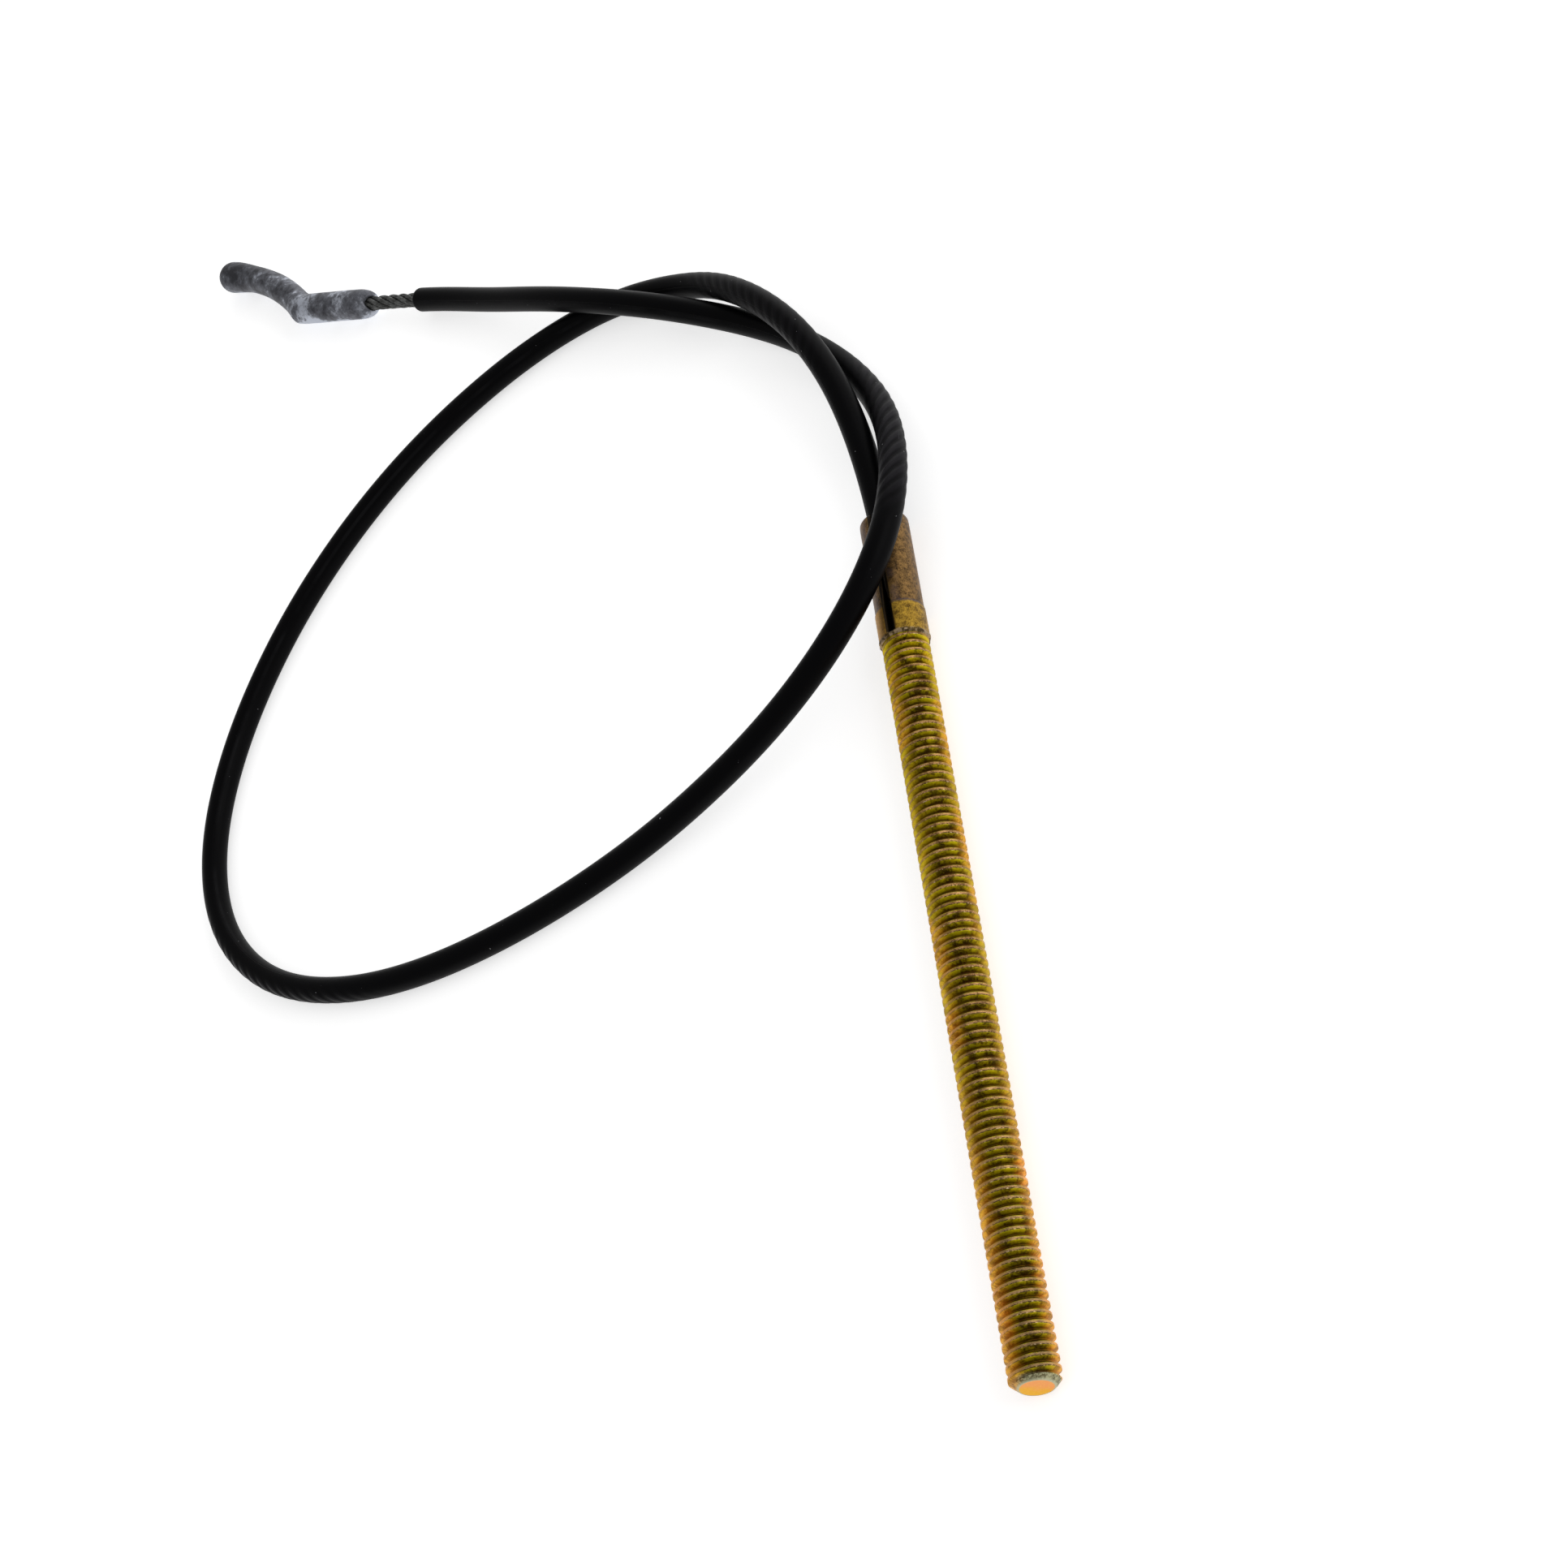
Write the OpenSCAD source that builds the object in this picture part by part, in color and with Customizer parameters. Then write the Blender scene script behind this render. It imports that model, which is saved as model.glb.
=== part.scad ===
// Machine control cable, lying on a flat surface with its loop in a loose overhand knot.
// A threaded steel stud holds one end of a jacketed wire rope, and a cast hook the other.
// Origin: centre of the stud's free end face. +Y runs along the stud to the cable, +Z is up.
// The surface that the cable lies on is half a shank diameter below the origin.

/* [Threaded stud] */
// Outside diameter of the thread
thread_d = 6.35; // [6:0.05:6.4]
// Distance from one thread crest to the next
thread_pitch = 1.27; // [1:0.01:1.5]
// Length of the threaded stretch, from the free end
thread_len = 102; // [60:1:102]
// Width of the bevel round the free end
end_bevel = 0.8; // [0.4:0.1:1.2]
// Length of the whole stud
stud_len = 122; // [122:1:150]
// Diameter of the plain shank behind the thread
shank_d = 6.75; // [6.7:0.05:7.5]

/* [Crimped socket] */
// Depth of the drilled socket that the cable enters
socket_depth = 19; // [15:0.5:19]
// Gap between the jacket and the socket's wall, on the diameter
socket_clearance = 0.3; // [0.1:0.05:0.5]
// Length of the stretch that the crimping dies press
crimp_len = 15; // [8:0.5:17]
// How far the dies press each side of the shank in
crimp_depth = 0.12; // [0.06:0.02:0.3]
// Width of the slot that opens the socket along its top
slot_w = 1; // [0.6:0.1:1.4]
// How far the slot runs on past the socket's bottom
slot_runout = 0.5; // [0.2:0.1:1]
// How far the mouth of the socket flares, on the radius
flare_w = 0.5; // [0.2:0.05:0.6]
// Depth of the flare
flare_depth = 5; // [2:0.5:6]

/* [Cable] */
// Outside diameter of the plastic jacket
jacket_d = 3.9; // [3.2:0.05:4.1]
// Diameter of the wire rope
rope_d = 2.38; // [1.6:0.01:2.6]
// Gap between the rope and the jacket, on the radius
jacket_gap = 0.02; // [0.01:0.01:0.05]
// Length of bare rope between the jacket and the hook
bare_len = 11.5; // [6:0.5:14]

/* [Hook] */
// Diameter of the hook's barrel
barrel_d = 5; // [4:0.1:5]
// Length of the barrel, from the rope's mouth to the heel
barrel_len = 17.7; // [16:0.1:24]
// Length of rope that the barrel holds
rope_in_hook = 14.7; // [8:0.1:14.7]
// Length of the rounded shoulder at the rope's mouth
shoulder_len = 2.2; // [1:0.1:3]
// Depth of the tapered recess round the rope
recess_depth = 1.8; // [0.5:0.1:3]
// How far the recess widens beyond the rope's bore, on the radius
recess_w = 0.5; // [0.2:0.05:0.7]
// Gap between the rope and its bore in the barrel, on the radius
rope_clearance = 0.05; // [0.02:0.01:0.1]
// Diameter of the arm
arm_d = 4.6; // [3.5:0.1:4.6]
// Diameter of the ball that ends the arm
tip_d = 5.4; // [4.8:0.1:5.6]
// Angle between the barrel and the arm at the heel
heel_angle = 35; // [20:1:45]
// Bend radius of the arm
arm_bend_r = 43; // [20:1:60]
// Angle through which the arm curves back
arm_bend = 31.5; // [10:0.5:60]

/* [Hidden] */

// Smooth rounds: number of steps that the display draws round a circle
$fn = 48;
// Small overshoot that carries a cut past the face it opens
over = 0.1;

// Unified thread form: 60 degree flanks between narrow flats
thread_r = thread_d / 2;
thread_depth = 0.613 * thread_pitch;
crest_flat = thread_pitch / 8;
flank_w = thread_depth * tan(30);
root_flat = thread_pitch - crest_flat - 2 * flank_w;
thread_turns = floor((thread_len - end_bevel - root_flat) / thread_pitch);
root_r = thread_r - thread_depth;

shank_r = shank_d / 2;
socket_d = jacket_d + socket_clearance;
socket_bottom = stud_len - socket_depth;
crimp_start = stud_len - crimp_len;

// Points that steer the cable's centre line, from the socket to inside the hook.
// It leaves the socket, passes over the far strand, under the hook's strand, goes
// round the loop on the surface, climbs over the socket, dips under and over again,
// and comes down to the hook.
route = [
    [0, 89, 0], [0, 103.5, 0], [0.05, 118, 0], [-0.26, 131.22, 0.67], [-1.6, 145.52, 2.91],
    [-6.36, 159.24, 4.65], [-15.19, 171.76, 3.62], [-25.31, 181.89, -0.66], [-39.26, 188.03, -1.4],
    [-54.59, 188.64, -1.4], [-68.7, 186.29, -1.4], [-82.58, 181.74, -1.4], [-95.36, 175.03, -1.4],
    [-107.25, 165.89, -1.4], [-116.88, 155.07, -1.4], [-124.34, 142.71, -1.4], [-128.67, 128.25, -1.4],
    [-126.93, 113.15, -1.4], [-117.92, 100.9, -1.4], [-105.1, 93.78, -1.4], [-91.11, 90.12, -1.4],
    [-76.54, 89.16, -1.4], [-62, 89.98, -1.4], [-46.99, 92.22, -1.2], [-32.88, 94.75, 0.7],
    [-18.8, 98.05, 3.5], [-5.76, 104.71, 5.6], [4.03, 115.51, 6.2], [5.38, 130.59, 2.76],
    [1.84, 144.96, -1.41], [-5.67, 157.69, -1.36], [-15.87, 168.52, -1.5], [-27.92, 176.78, 2.2],
    [-39.69, 184.65, 3.43], [-51.56, 192.99, 2.78], [-63.03, 201.4, 0.28], [-75, 210, -0.65],
    [-88, 217, -0.65], [-101, 224, -0.65], [-114, 231, -0.65]
];

// Places along the route are counted in spans between its points
spline_degree = 3;
route_spans = len(route) - spline_degree;
hook_span = route_spans - 1;
hook_at = route[hook_span + 1];
hook_next = route[hook_span + 2];
hook_turn = atan2(hook_next.y - hook_at.y, hook_next.x - hook_at.x);
last_span_len = norm(hook_next - hook_at);
jacket_end = hook_span - bare_len / last_span_len;

// The rings of the swept tubes lie closer together where the cable bends in the knot
knot_step = 0.55;
loop_step = 0.8;
first_bend = 7;
second_bend = 25;
second_bend_end = 33;
tube_sides = 8;
bare_sides = 12;

// Weights of the four neighbouring points at share t of a span (uniform cubic B-spline)
function weights(t) = [
    pow(1 - t, 3) / 6,
    (3 * pow(t, 3) - 6 * pow(t, 2) + 4) / 6,
    (-3 * pow(t, 3) + 3 * pow(t, 2) + 3 * t + 1) / 6,
    pow(t, 3) / 6
];

// Rates at which those weights change, which give the direction of the line
function slopes(t) = [
    -pow(1 - t, 2) / 2,
    (3 * pow(t, 2) - 4 * t) / 2,
    (-3 * pow(t, 2) + 2 * t + 1) / 2,
    pow(t, 2) / 2
];

function first_of(u) = min(floor(u), route_spans - 1);
function mix(w, i) = w[0] * route[i] + w[1] * route[i + 1] + w[2] * route[i + 2] + w[3] * route[i + 3];
function route_point(u) = mix(weights(u - first_of(u)), first_of(u));
function route_slope(u) = mix(slopes(u - first_of(u)), first_of(u));
function unit(v) = v / norm(v);

// A ring of points round the centre line, square to it
function ring(u, r, sides) =
    let (
        at = route_point(u),
        ahead = unit(route_slope(u)),
        side = unit(cross(ahead, [0, 0, 1])),
        up = cross(side, ahead)
    )
    [for (k = [0:sides - 1]) at + r * (cos(360 * k / sides) * side + sin(360 * k / sides) * up)];

// Evenly spaced places from a to b, no further apart than step, without b itself
function places(a, b, step) =
    let (n = ceil((b - a) / step))
    [for (i = [0:n - 1]) a + i * (b - a) / n];

covered_places = concat(
    places(0, first_bend, knot_step),
    places(first_bend, second_bend, loop_step),
    places(second_bend, second_bend_end, knot_step),
    places(second_bend_end, jacket_end, loop_step),
    [jacket_end]
);
bare_places = [jacket_end, hook_span, hook_span + rope_in_hook / last_span_len];

// Two triangles for each side between ring a and ring b, seen from outside
function skin(a, b, sides) = [
    for (k = [0:sides - 1])
        let (next = (k + 1) % sides)
        each [
            [a + k, b + k, b + next],
            [a + k, b + next, a + next]
        ]
];

function flipped(faces) = [for (f = faces) [f[2], f[1], f[0]]];

// A solid round bar along the route
module swept_bar(stops, r, sides) {
    rings = len(stops);
    last = (rings - 1) * sides;
    polyhedron(
        points = [for (u = stops) each ring(u, r, sides)],
        faces = concat(
            [for (i = [0:rings - 2]) each skin(i * sides, (i + 1) * sides, sides)],
            [[for (k = [0:sides - 1]) k]],
            [[for (k = [sides - 1:-1:0]) last + k]]
        )
    );
}

// A round pipe along the route, open at both ends
module swept_pipe(stops, r_outer, r_inner, sides) {
    rings = len(stops);
    inner = rings * sides;
    last = (rings - 1) * sides;
    polyhedron(
        points = concat(
            [for (u = stops) each ring(u, r_outer, sides)],
            [for (u = stops) each ring(u, r_inner, sides)]
        ),
        faces = concat(
            [for (i = [0:rings - 2]) each skin(i * sides, (i + 1) * sides, sides)],
            [for (i = [0:rings - 2]) each flipped(skin(inner + i * sides, inner + (i + 1) * sides, sides))],
            skin(inner, 0, sides),
            skin(last, inner + last, sides)
        )
    );
}

// Half section of the stud, as distance from the axis and distance from the free end
function thread_groove(i) =
    let (y = end_bevel + crest_flat + i * thread_pitch)
    [
        [thread_r, y],
        [root_r, y + flank_w],
        [root_r, y + flank_w + root_flat],
        [thread_r, y + 2 * flank_w + root_flat]
    ];

module stud_blank() {
    rotate([-90, 0, 0])
        rotate_extrude()
            polygon(concat(
                [[0, 0], [thread_r - end_bevel, 0], [thread_r, end_bevel]],
                [for (i = [0:thread_turns - 1]) each thread_groove(i)],
                [[thread_r, thread_len], [shank_r, thread_len], [shank_r, stud_len], [0, stud_len]]
            ));
}

// The drilled socket with its flared mouth, along +Y
module socket() {
    translate([0, socket_bottom, 0])
        rotate([-90, 0, 0])
            cylinder(d = socket_d, h = socket_depth + over);
    translate([0, stud_len - flare_depth, 0])
        rotate([-90, 0, 0])
            cylinder(r1 = socket_d / 2, r2 = socket_d / 2 + flare_w, h = flare_depth + over);
}

// The slot that opens the socket upwards
module slot() {
    translate([-slot_w / 2, socket_bottom - slot_runout, 0])
        cube([slot_w, socket_depth + slot_runout + over, shank_r + over]);
}

// What the crimping dies press away on one side of the shank
module crimp_flat() {
    translate([shank_r - crimp_depth, crimp_start, -shank_r - over])
        cube([crimp_depth + over, crimp_len + over, 2 * shank_r + 2 * over]);
}

module threaded_stud() {
    color("darkgoldenrod")
        difference() {
            stud_blank();
            socket();
            slot();
            crimp_flat();
            mirror([1, 0, 0]) crimp_flat();
        }
}

module cable_jacket() {
    color("#141416")
        swept_pipe(covered_places, jacket_d / 2, rope_d / 2 + jacket_gap, tube_sides);
}

module wire_rope() {
    color("slategray")
        swept_bar(covered_places, rope_d / 2, tube_sides);
}

module bare_rope() {
    color("lightslategray")
        swept_bar(bare_places, rope_d / 2, bare_sides);
}

// Hook dimensions that follow from its own and the rope's
barrel_r = barrel_d / 2;
arm_r = arm_d / 2;
rope_bore_r = rope_d / 2 + rope_clearance;
rope_bore_depth = rope_in_hook + over;
shoulder_steps = 6;

// The arm starts this far inside the barrel, so that the two are one solid
heel_overlap = 0.2;

// Half section of the barrel, as distance from the axis and distance from the mouth
function shoulder(i) =
    let (
        angle = 90 * i / shoulder_steps,
        rim = rope_bore_r + recess_w
    )
    [rim + (barrel_r - rim) * sin(angle), shoulder_len * (1 - cos(angle))];

module barrel_blank() {
    rotate([0, 90, 0])
        rotate_extrude()
            polygon(concat(
                [[rope_bore_r, recess_depth]],
                [for (i = [0:shoulder_steps]) shoulder(i)],
                [
                    [barrel_r, barrel_len + barrel_d],
                    [0, barrel_len + barrel_d],
                    [0, rope_bore_depth],
                    [rope_bore_r, rope_bore_depth]
                ]
            ));
}

// The arm curves back from the heel and ends in a thicker ball
module arm_blank() {
    lead = asin(arm_d / arm_bend_r);
    translate([0, arm_bend_r, 0]) {
        rotate([0, 0, -90 - lead])
            rotate_extrude(angle = arm_bend + lead)
                translate([arm_bend_r, 0])
                    circle(r = arm_r);
        rotate([0, 0, arm_bend - 90])
            translate([arm_bend_r, 0, 0])
                sphere(d = tip_d);
    }
}

// Everything on the barrel's side of the mitre plane through the heel
module barrel_side() {
    reach = 2 * (barrel_len + barrel_d);
    translate([barrel_len, 0, 0])
        rotate([0, 0, -heel_angle / 2])
            translate([-reach, -reach / 2, -barrel_d])
                cube([reach, reach, 2 * barrel_d]);
}

// Everything on the arm's side of the mitre plane
module arm_side() {
    reach = 2 * (arm_bend_r + arm_d);
    translate([barrel_len, 0, 0])
        rotate([0, 0, -heel_angle / 2])
            translate([-heel_overlap, -reach / 2, -arm_d])
                cube([reach, reach, 2 * arm_d]);
}

module cable_hook() {
    color("#8d9299")
        translate(hook_at)
            rotate([0, 0, hook_turn])
                union() {
                    intersection() {
                        barrel_blank();
                        barrel_side();
                    }
                    intersection() {
                        translate([barrel_len, 0, 0])
                            rotate([0, 0, -heel_angle])
                                arm_blank();
                        arm_side();
                    }
                }
}

threaded_stud();
cable_jacket();
wire_rope();
bare_rope();
cable_hook();
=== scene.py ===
# %% [markdown]
# # A machine control cable
# A plastic-coated wire rope has a long threaded stud crimped on one end and a cast hook on the
# other. It lies on a pale surface with its loop in a loose overhand knot. Each step below says
# what the piece is on the real cable, how it could be made in Blender, and why one way was chosen.
# Every shape is worked out with numpy, as a function of two parameters, and every finish is nodes.

import math

import bmesh
import bpy
import numpy as np
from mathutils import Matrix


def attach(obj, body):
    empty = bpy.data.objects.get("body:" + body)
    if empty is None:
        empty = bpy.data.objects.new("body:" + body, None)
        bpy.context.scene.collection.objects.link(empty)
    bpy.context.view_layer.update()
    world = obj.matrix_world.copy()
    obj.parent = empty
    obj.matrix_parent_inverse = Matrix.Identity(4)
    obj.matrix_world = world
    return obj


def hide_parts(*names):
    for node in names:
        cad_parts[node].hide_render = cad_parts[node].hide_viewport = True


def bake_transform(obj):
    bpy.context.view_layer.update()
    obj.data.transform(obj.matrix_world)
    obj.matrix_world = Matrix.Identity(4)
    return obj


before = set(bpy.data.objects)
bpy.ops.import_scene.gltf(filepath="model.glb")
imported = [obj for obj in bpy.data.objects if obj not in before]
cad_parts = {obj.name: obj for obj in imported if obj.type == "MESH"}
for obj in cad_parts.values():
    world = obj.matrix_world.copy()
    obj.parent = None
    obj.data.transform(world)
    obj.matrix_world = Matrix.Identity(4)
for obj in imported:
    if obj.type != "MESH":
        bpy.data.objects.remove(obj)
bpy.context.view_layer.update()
MM = 0.001
print("nodes:", sorted(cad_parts))

# %% [markdown]
# ## The camera
# The camera looks down from one side, with the stud's free end nearest to it. It could be aimed
# with a constraint, but three plain angles say the same and leave nothing to evaluate.

# %% Camera
FOCAL_LENGTH_MM = 65.217
SENSOR_WIDTH_MM = 36
CAMERA_AT = (0.1460, -0.1074, 0.2719)
CAMERA_TURN_DEGREES = (26.998, 35.692, -8.607)
camera_data = bpy.data.cameras.new("camera")
camera_data.sensor_width = SENSOR_WIDTH_MM
camera_data.lens = FOCAL_LENGTH_MM
camera_data.clip_start = 0.01
camera = bpy.data.objects.new("camera", camera_data)
camera.location = CAMERA_AT
camera.rotation_euler = [math.radians(turn) for turn in CAMERA_TURN_DEGREES]
bpy.context.scene.collection.objects.link(camera)
bpy.context.scene.camera = camera
print(f"camera {np.linalg.norm(CAMERA_AT):.2f} m from the stud's free end")

# %% [markdown]
# ## The cable's line
# The cable is one smooth line from the bottom of the stud's socket to inside the hook. It could
# be a Blender curve, but the ribs that the rope presses through the jacket follow the line's
# bends, so the line is worked out here as a uniform cubic B-spline: each span is a blend of four
# neighbouring points with cubic weights.

# %% Route
ROUTE = MM * np.array([
    [0, 89, 0], [0, 103.5, 0], [0.05, 118, 0], [-0.26, 131.22, 0.67], [-1.6, 145.52, 2.91],
    [-6.36, 159.24, 4.65], [-15.19, 171.76, 3.62], [-25.31, 181.89, -0.66], [-39.26, 188.03, -1.4],
    [-54.59, 188.64, -1.4], [-68.7, 186.29, -1.4], [-82.58, 181.74, -1.4], [-95.36, 175.03, -1.4],
    [-107.25, 165.89, -1.4], [-116.88, 155.07, -1.4], [-124.34, 142.71, -1.4], [-128.67, 128.25, -1.4],
    [-126.93, 113.15, -1.4], [-117.92, 100.9, -1.4], [-105.1, 93.78, -1.4], [-91.11, 90.12, -1.4],
    [-76.54, 89.16, -1.4], [-62, 89.98, -1.4], [-46.99, 92.22, -1.2], [-32.88, 94.75, 0.7],
    [-18.8, 98.05, 3.5], [-5.76, 104.71, 5.6], [4.03, 115.51, 6.2], [5.38, 130.59, 2.76],
    [1.84, 144.96, -1.41], [-5.67, 157.69, -1.36], [-15.87, 168.52, -1.5], [-27.92, 176.78, 2.2],
    [-39.69, 184.65, 3.43], [-51.56, 192.99, 2.78], [-63.03, 201.4, 0.28], [-75, 210, -0.65],
    [-88, 217, -0.65], [-101, 224, -0.65], [-114, 231, -0.65],
])
SPANS = len(ROUTE) - 3
HOOK_SPAN = SPANS - 1


def spline(places):
    """Points at these places along the route, counted in spans.

    With t the share of a span, the four points weigh (1-t)^3/6, (3t^3-6t^2+4)/6,
    (-3t^3+3t^2+3t+1)/6 and t^3/6.
    """
    first = np.clip(np.floor(places).astype(int), 0, SPANS - 1)
    t = places - first
    weights = np.stack([
        (1 - t) ** 3,
        3 * t**3 - 6 * t**2 + 4,
        -3 * t**3 + 3 * t**2 + 3 * t + 1,
        t**3,
    ]) / 6
    return sum(weights[k][:, None] * ROUTE[first + k] for k in range(4))


# %% [markdown]
# ## Distances and directions
# A distance in millimetres says more than a place in spans, so the line is measured once, and
# the table of its lengths turns any distance into a place. At each distance the line has a
# direction, and two vectors square to it, which carry the rings of the jacket and the turns of
# the strands.

# %% Distances along the line
BARE_LENGTH = 11.5 * MM
ROPE_IN_HOOK = 14.7 * MM


def running_length(points):
    """Distance from the first point to each point, along the line through them."""
    steps = np.linalg.norm(np.diff(points, axis=0), axis=1)
    return np.concatenate([[0], np.cumsum(steps)])


fine_places = np.linspace(0, SPANS, 6000)
fine_lengths = running_length(spline(fine_places))
last_span = np.linalg.norm(ROUTE[-2] - ROUTE[-3])
jacket_length = np.interp(HOOK_SPAN - BARE_LENGTH / last_span, fine_places, fine_lengths)
mouth_length = jacket_length + BARE_LENGTH
print(f"jacket {jacket_length / MM:.1f} mm, bare rope from there to {mouth_length / MM:.1f} mm")

# %% Directions along the line
SMALL_PLACE = 1e-3


def unit(vectors):
    """Each vector divided by its own length."""
    return vectors / np.linalg.norm(vectors, axis=-1, keepdims=True)


def line_at(lengths):
    """Point, direction, sideways and upward vectors of the line at these distances from its start.

    The direction is the step between two near places. Sideways is the direction crossed with the
    vertical, and upward is square to both.
    """
    places = np.interp(lengths, fine_lengths, fine_places)
    before = spline(np.maximum(places - SMALL_PLACE, 0))
    after = spline(np.minimum(places + SMALL_PLACE, SPANS))
    ahead = unit(after - before)
    side = unit(np.cross(ahead, [0, 0, 1.0]))
    return spline(places), ahead, side, np.cross(side, ahead)


heights = line_at(np.linspace(0, jacket_length, 500))[0][:, 2] / MM
print(f"the line's height lies between {heights.min():.1f} and {heights.max():.1f} mm")

# %% [markdown]
# ## Surfaces from grids
# Every new piece is a grid of points, rows along it and columns round it. Blender could build
# the grid with Screw or Array modifiers, but computing it as one numpy array keeps the formula
# in one place. The faces are the squares between neighbours. Doubles along seams and poles are
# merged, so each skin is closed, and the sign of its volume tells whether it must be turned.

# %% Grid to mesh
MERGE_DISTANCE = 2e-7


def grid_faces(rows, columns, first=0, close_rows=False, close_columns=True):
    """Four corner indices for every square of a grid of rows by columns."""
    i, j = np.meshgrid(
        np.arange(rows if close_rows else rows - 1),
        np.arange(columns if close_columns else columns - 1),
        indexing="ij",
    )
    below, right = (i + 1) % rows, (j + 1) % columns
    corners = [i * columns + j, i * columns + right, below * columns + right, below * columns + j]
    return first + np.stack([c.ravel() for c in corners], axis=1)


def volume(points, faces):
    """Signed volume inside closed faces: a sixth of the sum of a . (b x c) over their triangles."""
    a, b, c, d = (points[faces[:, k]] for k in range(4))
    first_half = np.einsum("ij,ij->i", a, np.cross(b, c)).sum()
    return (first_half + np.einsum("ij,ij->i", a, np.cross(c, d)).sum()) / 6


def make_piece(name, points, faces, uv=None, stretch=None, sharp_degrees=40):
    """A mesh object from points and square faces, with doubles merged and its skin outwards."""
    if volume(points, faces) < 0:
        faces = faces[:, ::-1]
    mesh = bpy.data.meshes.new(name)
    mesh.from_pydata(points.tolist(), [], faces.tolist())
    if uv is not None:
        layer = mesh.uv_layers.new(name="along")
        layer.data.foreach_set("uv", uv[faces.ravel()].astype(np.float32).ravel())
    if stretch is not None:
        attribute = mesh.attributes.new("stretch", "FLOAT", "POINT")
        attribute.data.foreach_set("value", stretch.astype(np.float32))
    merged = bmesh.new()
    merged.from_mesh(mesh)
    bmesh.ops.remove_doubles(merged, verts=merged.verts, dist=MERGE_DISTANCE)
    merged.to_mesh(mesh)
    merged.free()
    mesh.polygons.foreach_set("use_smooth", np.ones(len(mesh.polygons), bool))
    mesh.set_sharp_from_angle(angle=math.radians(sharp_degrees))
    piece = bpy.data.objects.new(name, mesh)
    bpy.context.scene.collection.objects.link(piece)
    print(f"{name}: {len(mesh.polygons)} faces")
    return piece


# %% [markdown]
# ## Ribs in the jacket's skin
# Black vinyl is extruded over the rope. Where the cable was bent tightly the skin took a set: it
# thinned on the outside of the bend, and the six strands show through as slanting ribs. A bump
# texture could draw them, but ribs that are really raised also break the outline.

# %% Spokes and soft steps


def spokes(angles, side, up):
    """Unit vectors round each point: the angle's cosine along side plus its sine along up."""
    return np.cos(angles)[..., None] * side[:, None] + np.sin(angles)[..., None] * up[:, None]


def smooth(value, low, high):
    """0 below low, 1 above high and an S curve between them."""
    t = np.clip((value - low) / (high - low), 0, 1)
    return t * t * (3 - 2 * t)


# %% Jacket: sizes and ribs
JACKET_R = 1.95 * MM
ROPE_R = 1.19 * MM
JACKET_BORE_R = ROPE_R + 0.03 * MM
LAY = 14.5 * MM
END_ROUND = 0.65 * MM
RIB_HEIGHT = 0.11 * MM
MEAN_RIB = 0.64
FADE_MM = 8
# the bend, in radians a metre, that draws the skin by a whole unit
SET_BEND = 50
# start and end of each ribbed stretch in mm, its draw all round, and the most that it reaches
RIBBED = [(46, 88, 0.5, 0.32), (232, 272, 0.1, 0.9), (384, 416, 0.6, 0.8)]


def strand_angle(lengths):
    """Angle of the first strand at each distance, in the line's side and up vectors.

    A right-hand lay turns one full turn in each lay length.
    """
    return -2 * math.pi * lengths / LAY


def bend_of(lengths):
    """How fast the line turns, as a vector towards the inside of the bend, in radians a metre."""
    step = 2 * MM
    before, after = line_at(lengths - step)[1], line_at(lengths + step)[1]
    return (after - before) / (2 * step)


def stretch_of(lengths, angles):
    """How far the skin is drawn over the strands, from 0 to 1.

    In each ribbed stretch it is a constant plus the bend's part in the outward direction, and it
    fades in and out over twice FADE_MM.
    """
    _, _, side, up = line_at(lengths)
    bend = -np.einsum("ik,ijk->ij", bend_of(lengths), spokes(angles, side, up)) / SET_BEND
    at = lengths / MM
    total = np.zeros(bend.shape)
    for start, end, constant, most in RIBBED:
        window = smooth(at, start - FADE_MM, start + FADE_MM)
        window = window * (1 - smooth(at, end - FADE_MM, end + FADE_MM))
        total += window[:, None] * np.clip(constant + bend, 0, most)
    return total


def jacket_radius(lengths, angles):
    """Outside radius: the plain radius, plus a rib where a strand passes below.

    A rib is the absolute cosine of three times the angle from the first strand, less its mean,
    and its height grows with the stretch of the skin.
    """
    ribs = np.abs(np.cos(3 * (angles - strand_angle(lengths)[:, None]))) - MEAN_RIB
    return JACKET_R + RIB_HEIGHT * stretch_of(lengths, angles) * ribs


free_lengths = np.linspace(50 * MM, jacket_length - 10 * MM, 500)
sharpest = np.linalg.norm(bend_of(free_lengths), axis=1).max()
print(f"tightest bend {1 / sharpest / MM:.0f} mm in radius")

# %% [markdown]
# ## The jacket
# A bevelled curve would give a plain tube, so the tube is a grid with its own radius at each
# point. The wall is real: the grid runs out over the rounded end and back along the inside.

# %% Jacket
JACKET_COLUMNS = 36
OUTER_ROWS = 1450
BORE_ROWS = 240


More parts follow.
